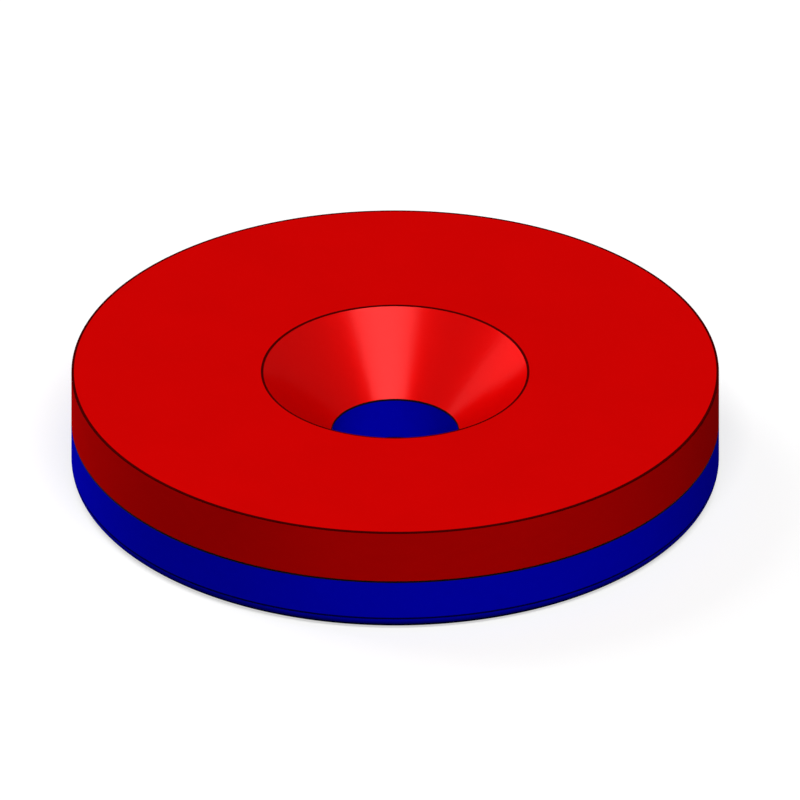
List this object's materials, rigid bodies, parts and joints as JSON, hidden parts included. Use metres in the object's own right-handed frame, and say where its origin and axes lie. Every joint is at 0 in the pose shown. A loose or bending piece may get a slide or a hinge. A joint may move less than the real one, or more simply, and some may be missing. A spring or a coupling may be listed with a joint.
{
  "type": "countersunk magnet",
  "caption": "Flat round magnet with a countersunk screw hole through its middle. A flat head screw holds it down by its back face, and its front face holds steel.",
  "frame": {"origin": "centre of the back face, on the axis of the screw hole", "axes": "+Z along the axis of the screw hole, from the back face to the countersunk front face; the magnet is a body of revolution, so +X and +Y may be any two directions across it"},
  "size_m": [0.023, 0.023, 0.004],
  "materials": {
    "pole_lacquer": "smooth satin lacquer over a sintered magnet: red on the north side, which is the front face, the countersink and the upper half of the rim, and deep blue on the south side, which is the straight hole, the lower half of the rim and the back face, with fine dark lines along the edges"
  },
  "bodies": {
    "root": {"magnet": "pole_lacquer"}
  },
  "joints": []
}
